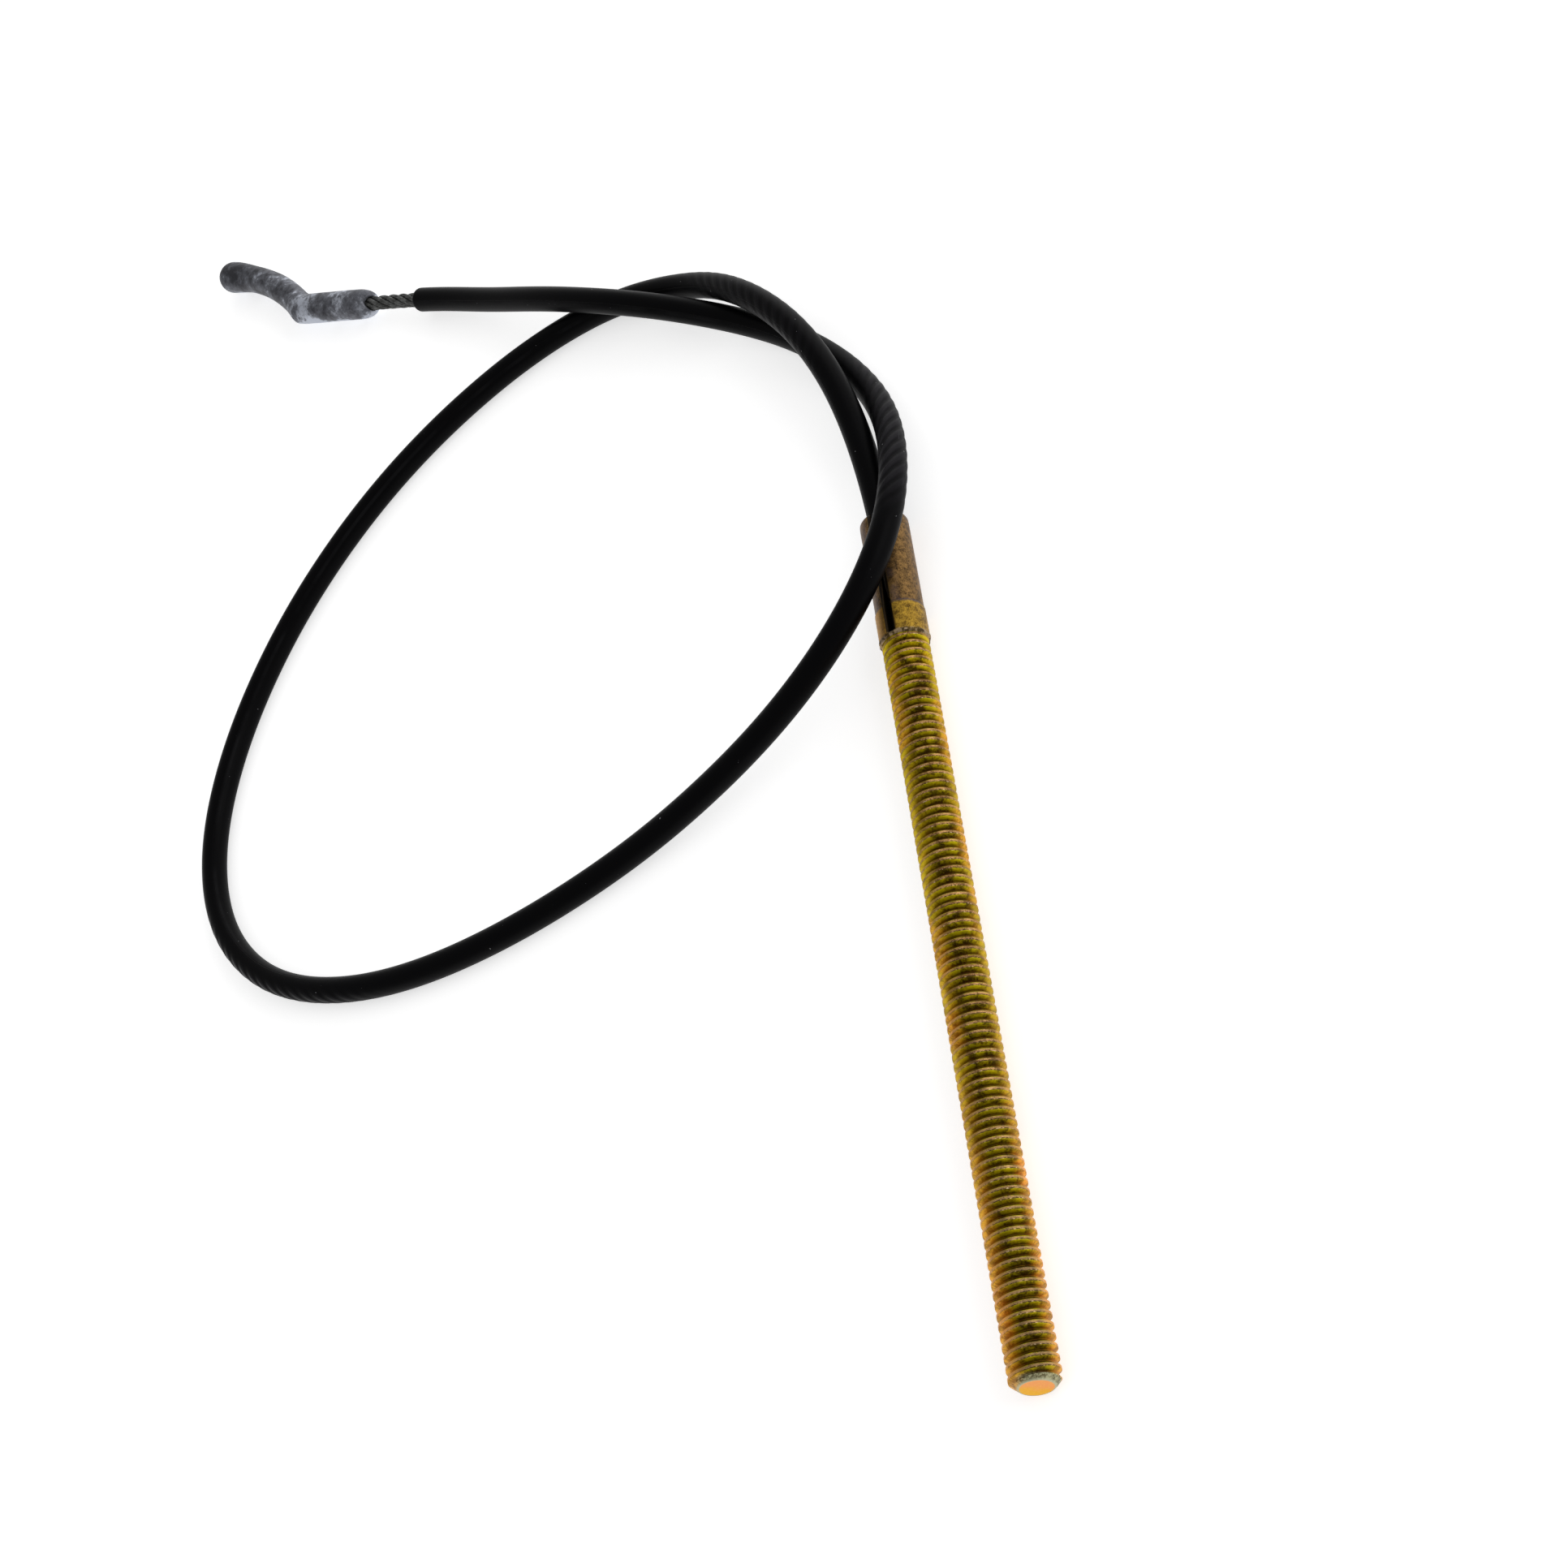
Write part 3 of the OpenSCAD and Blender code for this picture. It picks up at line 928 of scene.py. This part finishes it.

# %% [markdown]
# ## Yellow chromate: what the noises stand for
# The stud's plating is a thin iridescent film: yellow to olive down the flanks of the thread.
# Painted reflection makes its sides lighter yellow, and orange in patches and towards the free
# end. The piece's map counts turns of the thread, so one number says where on the thread a point
# is: 0 is the crest, and half a turn away is the root. Object coordinates say how far along and
# round the stud it is.

# %% Stud finish: places and noises
plated = Finish("yellow_chromate")
turns = plated.split(plated.node("ShaderNodeUVMap", {"uv_map": "along"}, {}))[1]
place = (turns + 0.5).fraction() - 0.5
x_mm = plated.x / MM
y_mm = plated.y / MM
z_mm = plated.z / MM
from_axis = (x_mm * x_mm + z_mm * z_mm) ** 0.5
speck = plated.noise(3.2, detail=3, squeeze=(1, 0.6, 1))
streak = plated.noise(0.7, detail=4, squeeze=(1, 0.6, 1))
blotch = speck * 0.4 + streak * 0.6
fine = plated.noise(8.0, detail=2)
cloud = plated.noise(0.16, detail=3)
ragged = (speck - 0.5) * 0.16
towards_end = (y_mm + (cloud - 0.5) * 60).step(62, 6)
sideways = x_mm + (streak - 0.5) * 1.5
# side is the stud's left side and its lower right side, which painted reflection lightens
side = sideways.step(0.9, -1.3) + sideways.step(0.5, 1.5) * z_mm.step(1.4, -0.4)
orange_patches = plated.noise(0.11, detail=2).step(0.52, 0.60)
# the orange share: painted reflection at the sides, stronger towards the free end and in the film's orange
# patches
orange_and_side_sheen = side * (0.2 + towards_end * 0.6 + orange_patches * 0.45)
plated.report()

# %% Stud finish: flanks and roots
OLIVE_DARK = (0.090, 0.056, 0.001)
OLIVE = (0.46, 0.37, 0.002)
LEMON_HIGHLIGHT = (0.66, 0.57, 0.003)
SIDE_SHEEN_YELLOW = (0.74, 0.58, 0.003)
SHANK_YELLOW = (0.68, 0.53, 0.004)
ORANGE_DARK = (0.38, 0.15, 0.006)
ORANGE = (0.96, 0.46, 0.045)
ROOT_SHADE_BROWN = (0.085, 0.029, 0.001)
ROOT_SHADE_ORANGE = (0.50, 0.19, 0.004)

mottled = blotch.step(0.40, 0.60)
green = plated.mix(mottled, OLIVE_DARK, OLIVE)
orange = plated.mix(mottled, ORANGE_DARK, ORANGE)
# painted highlights: bright lemon spots on the flanks
flank_highlights = plated.noise(0.5, detail=3).step(0.50, 0.60)
green = plated.mix(flank_highlights * 0.6, green, LEMON_HIGHLIGHT)
# painted reflection makes the flanks lighter yellow at the sides
green = plated.mix(side * 0.45, green, SIDE_SHEEN_YELLOW)
flank = plated.mix(orange_and_side_sheen, green, orange)
near_shank = (y_mm + (cloud - 0.5) * 10).step(93, 99)
flank = plated.mix(near_shank * mottled * 0.6, flank, SHANK_YELLOW)
# painted shade darkens the thread's roots, a little less at the sides
root_shade = place.step(-0.30, -0.44) + place.step(0.26, 0.36)
root_shade_colour = plated.mix(orange_and_side_sheen, ROOT_SHADE_BROWN, ROOT_SHADE_ORANGE)
flank = plated.mix(root_shade * (0.85 - side * 0.2), flank, root_shade_colour)
plated.report()

# %% [markdown]
# ## The crests
# Handling rubs the film off the crests and leaves a reddish brown, and thread rolling leaves a
# dark ragged seam beside them, with a few painted glints along it. Painting by hand could do it,
# but masks on the thread's own turns follow the helix exactly.

# %% Stud finish: crests and seam
RUBBED_DARK = (0.17, 0.080, 0.024)
RUBBED = (0.64, 0.355, 0.145)
RUBBED_END = (0.32, 0.24, 0.12)
RUBBED_AND_SIDE_SHEEN = (0.98, 0.50, 0.19)
SEAM_BROWN = (0.018, 0.010, 0.004)
GLINT = (0.75, 0.62, 0.45)

crest = (place + ragged).size().step(0.17, 0.11)
worn = plated.mix((fine * 0.4 + streak * 0.6).step(0.40, 0.62), RUBBED_DARK, RUBBED)
worn = plated.mix(towards_end * 0.4, worn, RUBBED_END)
# painted reflection turns the rubbed crests orange at the sides
worn = plated.mix(orange_and_side_sheen, worn, RUBBED_AND_SIDE_SHEEN)
# less of the rubbed colour shows at the sides, under the painted reflection
thread_colour = plated.mix(crest * (0.95 - side * 0.35), flank, worn)
edge_specks = plated.noise(4.5, detail=2, squeeze=(0.7, 1, 0.7))
seam_line = (place + ragged + 0.10).size().step(0.075, 0.02)
seam = seam_line * edge_specks.step(0.44, 0.52)
thread_colour = plated.mix(seam * (0.9 - side * 0.6), thread_colour, SEAM_BROWN)
# painted glints: bright specks along the seam
glints = seam_line * edge_specks.step(0.38, 0.34)
thread_colour = plated.mix(glints * 0.6, thread_colour, GLINT)
plated.report()

# %% [markdown]
# ## The free end
# The sheared end was plated with the rest. Its bevel is greenish and its face bright, yellow at
# one side and a pinkish orange at the other. The masks lean with the face, so they use the same
# lean as the mesh.

# %% Stud finish: the end face and its bevel
BEVEL_DARK = (0.16, 0.14, 0.07)
BEVEL_GREEN = (0.46, 0.44, 0.26)
RING_PALE = (0.56, 0.56, 0.38)
FACE_YELLOW = (0.90, 0.47, 0.008)
FACE_PINK = (0.93, 0.37, 0.09)
FACE_SPECK = (0.95, 0.60, 0.12)

end_depth = y_mm + END_PROUD - z_mm * END_LEAN
bevelled = plated.mix(speck.step(0.40, 0.60), BEVEL_DARK, BEVEL_GREEN)
# painted reflection turns the bevel orange on its left side
bevelled = plated.mix(sideways.step(0.2, -2.0) * 0.8, bevelled, orange)
bevelled = plated.mix((from_axis + ragged).step(2.45, 2.15) * 0.8, bevelled, RING_PALE)
thread_colour = plated.mix((end_depth + ragged).step(0.85, 0.55), thread_colour, bevelled)
face_tint = (x_mm + z_mm * 0.8 + (streak - 0.5) * 3).step(-1.6, 1.0)
face_colour = plated.mix(face_tint, FACE_YELLOW, FACE_PINK)
face_colour = plated.mix(speck.step(0.50, 0.64) * 0.35, face_colour, FACE_SPECK)
on_face = end_depth.step(0.12, 0.06) * (from_axis + ragged).step(2.1, 1.95)
thread_colour = plated.mix(on_face, thread_colour, face_colour)
plated.report()

# %% [markdown]
# ## The shank
# The shank keeps its gold next to the thread. The crimping jaws rubbed the rest to bronze and
# left a dark line where they stopped, and the burr at the thread's end is bare and pitted. Each
# of these is a mask on the distance from the free end, its edge broken by the same noise.

# %% Stud finish: gold and bronze
GOLD_DARK = (0.070, 0.032, 0.003)
GOLD = (0.50, 0.30, 0.035)
GOLD_SIDE_SHEEN = (0.58, 0.29, 0.06)
BRONZE_DARK = (0.036, 0.018, 0.006)
BRONZE = (0.30, 0.168, 0.053)
IMPRINT_BROWN = (0.11, 0.08, 0.08)
SIDE_BROWN = (0.12, 0.085, 0.08)
LINE_BROWN = (0.07, 0.05, 0.055)

dust = plated.noise(6.0, detail=5, rough=0.8, squeeze=(1, 0.6, 1)) * 0.6
dust = (dust + plated.noise(1.3, detail=3) * 0.4).step(0.36, 0.62)
gold = plated.mix(dust, GOLD_DARK, GOLD)
# painted reflection makes the gold more orange on its left side
gold = plated.mix(x_mm.step(0.2, -1.4) * 0.6, gold, GOLD_SIDE_SHEEN)
bronze = plated.mix(dust, BRONZE_DARK, BRONZE)
imprint = (x_mm - 0.8).size().step(1.4, 0.3) * streak.step(0.42, 0.58)
bronze = plated.mix(imprint * 0.5, bronze, IMPRINT_BROWN)
bronze = plated.mix(x_mm.step(-0.9, -1.6) * 0.5, bronze, SIDE_BROWN)
wander = (speck - 0.5) * 0.5
crimped = (y_mm + wander).step(CRIMP_START - 0.05, CRIMP_START + 0.1)
shank_colour = plated.mix(crimped, gold, bronze)
edge_line = (y_mm - CRIMP_START + wander * 0.8).size().step(0.34, 0.1)
shank_colour = plated.mix(edge_line * 0.7, shank_colour, LINE_BROWN)
plated.report()

# %% Stud finish: slot, burr and socket
LIP_HIGHLIGHT_GOLD = (0.45, 0.27, 0.06)
PIT_BROWN = (0.03, 0.02, 0.01)
BURR_PALE = (0.40, 0.30, 0.19)
SOCKET_SHADE_BROWN = (0.04, 0.025, 0.01)
SLOT_SHADE_BROWN = (0.02, 0.012, 0.005)

# painted highlight: a gold line along each lip of the slot
lip_highlight = (x_mm.size() - 0.62).size().step(0.22, 0.05) * z_mm.step(2.6, 3.1)
shank_colour = plated.mix(lip_highlight * 0.55, shank_colour, LIP_HIGHLIGHT_GOLD)
pits = plated.noise(4.5, detail=2, squeeze=(1, 0.4, 1)).step(0.66, 0.72)
shank_colour = plated.mix(pits * 0.8, shank_colour, PIT_BROWN)
burr = y_mm.step(THREAD_END + 0.75, THREAD_END + 0.4)
burr_colour = plated.mix(blotch.step(0.45, 0.56), PIT_BROWN, BURR_PALE)
shank_colour = plated.mix(burr * 0.85, shank_colour, burr_colour)
# painted shade darkens the inside of the socket
socket_shade = from_axis.step(SOCKET_R + 0.65, SOCKET_R + 0.45)
shank_colour = plated.mix(socket_shade, shank_colour, SOCKET_SHADE_BROWN)
# painted shade darkens the walls of the slot, except at the burr
slot_wall_shade = x_mm.size().step(0.78, 0.66) * z_mm.step(1.0, 1.6)
shank_colour = plated.mix(slot_wall_shade * (1 - burr), shank_colour, SLOT_SHADE_BROWN)
on_shank = y_mm.step(THREAD_END - 0.03, THREAD_END + 0.03)
plated.set(
    Base_Color=plated.mix(on_shank, thread_colour, shank_colour),
    Roughness=0.36 + speck * 0.24,
    Metallic=0.88,
)
plated.bump(speck * 0.6 + fine * 0.4, 0.035)
plated.report()

# %% [markdown]
# ## Cast zinc
# As-cast zinc alloy is mottled: dark patches where the skin is rough, pale bluish ones where it
# ran smooth against the die. Two noises of different size, one of them warped, give that. Painted
# light from the surface below makes the underside paler, a painted highlight makes the heel paler,
# and the barrel is a little paler too, each by its own mask.

# %% Zinc finish
ZINC_DARK = (0.05, 0.05, 0.058)
ZINC_GREY = (0.17, 0.176, 0.20)
ZINC_PALE = (0.54, 0.57, 0.64)
HEEL_X_MM = -104.5
HEEL_Y_MM = 223.5

zinc = Finish("cast_zinc")
patches = zinc.noise(0.26, detail=3, rough=0.55, warp=0.5)
small_patches = zinc.noise(0.9, detail=4, rough=0.6)
grit = zinc.noise(3.0, detail=3, rough=0.6)
# painted light from the surface below makes the underside paler
underside_floor_light = zinc.z.step(0.2 * MM, -1.8 * MM)
to_heel = ((zinc.x / MM - HEEL_X_MM) ** 2 + (zinc.y / MM - HEEL_Y_MM) ** 2) ** 0.5
# painted highlight makes the heel paler
heel_highlight = to_heel.step(7.5, 1.5)
barrel = zinc.x.step(-106 * MM, -99 * MM)
tone = patches * 0.5 + small_patches * 0.35 + grit * 0.15
tone = tone + underside_floor_light * 0.13 + heel_highlight * 0.10 + barrel * 0.05 - 0.018
dark_to_grey = zinc.mix(tone.step(0.40, 0.58), ZINC_DARK, ZINC_GREY)
zinc.set(
    Base_Color=zinc.mix(tone.step(0.54, 0.66), dark_to_grey, ZINC_PALE),
    Roughness=0.42 + grit * 0.25,
    Metallic=0.85,
)
zinc.bump(small_patches * 0.6 + grit * 0.4, 0.05)
zinc.report()

# %% [markdown]
# ## Who wears which finish
# Each piece gets its material, and so does the solid that it stands for, which stays hidden.
# That could be done piece by piece further up, but one table shows every pair at once.

# %% Give each piece its finish
for piece, node, finish in (
    (jacket, "cable_jacket", vinyl),
    (rope_in_jacket, "wire_rope", wire),
    (bare_rope, "bare_rope", wire),
    (stud, "threaded_stud", plated),
    (hook, "cable_hook", zinc),
):
    for wearer in (piece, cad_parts[node]):
        wearer.data.materials.clear()
        wearer.data.materials.append(finish.material)
    print(f"{piece.name}: {finish.material.name}")

# %% [markdown]
# ## The surface
# The cable lies on a plain white surface, which takes its shadow. More lamps would bleach the
# cable as well, so the surface has a little light of its own instead. Only the camera and
# reflections see it, and it lifts the surface to white.

# %% Floor
FLOOR_Z = -SHANK_R * MM
FLOOR_HALF = 4.0
PAPER_WHITE = (0.86, 0.86, 0.86)
PAPER_GLOW = 0.6


def seen_rays(nodes):
    """1 for the rays that show a surface: the camera's, reflected and transmitted ones."""
    rays = nodes.tree.nodes.new("ShaderNodeLightPath").outputs
    camera_ray = Shade(nodes, rays["Is Camera Ray"])
    glossy_ray = Shade(nodes, rays["Is Glossy Ray"])
    transmission_ray = Shade(nodes, rays["Is Transmission Ray"])
    return camera_ray + glossy_ray + transmission_ray


floor_mesh = bpy.data.meshes.new("floor")
signs = [(-1, -1), (1, -1), (1, 1), (-1, 1)]
corners = [(FLOOR_HALF * x, FLOOR_HALF * y, FLOOR_Z) for x, y in signs]
floor_mesh.from_pydata(corners, [], [(0, 1, 2, 3)])
floor = bpy.data.objects.new("floor", floor_mesh)
bpy.context.scene.collection.objects.link(floor)
paper = Finish("white_surface")
paper.set(
    Base_Color=PAPER_WHITE,
    Roughness=0.9,
    Emission_Color=(1, 1, 1),
    Emission_Strength=seen_rays(paper) * PAPER_GLOW,
)
floor_mesh.materials.append(paper.material)
paper.report()

# %% [markdown]
# ## The light
# The studio is a white tent: bright near its floor, above all beyond the cable and to its right,
# and dimmer overhead. That leaves the black jacket black and draws a thin light line along its
# edges. A sky with one strength would be simpler, but it greys every glossy surface. A thin band
# just above the floor's edge is white to the camera, and to reflections as well, so no line
# shows where the floor ends.

# %% World
BRIGHT_SIDE = (0.8, 0.6)
TENT_DIM = 0.45
TENT_RISE = 0.6

world = bpy.data.worlds.new("studio")
bpy.context.scene.world = world
world.use_nodes = True
sky = Nodes(world.node_tree, "Generated")
low = 1 - sky.z.step(0.0, 0.35)
bright = (sky.x * BRIGHT_SIDE[0] + sky.y * BRIGHT_SIDE[1]).step(-0.6, 0.9)
tent = TENT_DIM + low * bright * TENT_RISE
at_floor_edge = sky.z.step(0.08, 0.03)
background = world.node_tree.nodes["Background"]
sky.feed(background.inputs["Color"], (1, 1, 1, 1))
sky.feed(background.inputs["Strength"], tent + seen_rays(sky) * at_floor_edge * (1 - tent))
print(f"world: {len(sky.tree.nodes)} nodes")

# %% Lamps
LAMP_TARGET = np.array([-0.03, 0.13, 0.0])
LAMP_SIZE = 1.8


def lamp(name, place, watts):
    """A square area lamp that points at the middle of the cable."""
    data = bpy.data.lights.new(name, "AREA")
    data.size = LAMP_SIZE
    data.energy = watts
    light = bpy.data.objects.new(name, data)
    light.location = place
    away = unit(np.array(place) - LAMP_TARGET)
    light.rotation_euler = (math.acos(away[2]), 0, math.atan2(away[1], away[0]) + math.pi / 2)
    bpy.context.scene.collection.objects.link(light)
    print(f"lamp {name}: {watts} W")


lamp("right", (2.3, 0.2, 1.2), 16)
lamp("far_right", (0.8, 2.3, 0.9), 10)
bpy.context.scene.view_settings.view_transform = "Standard"
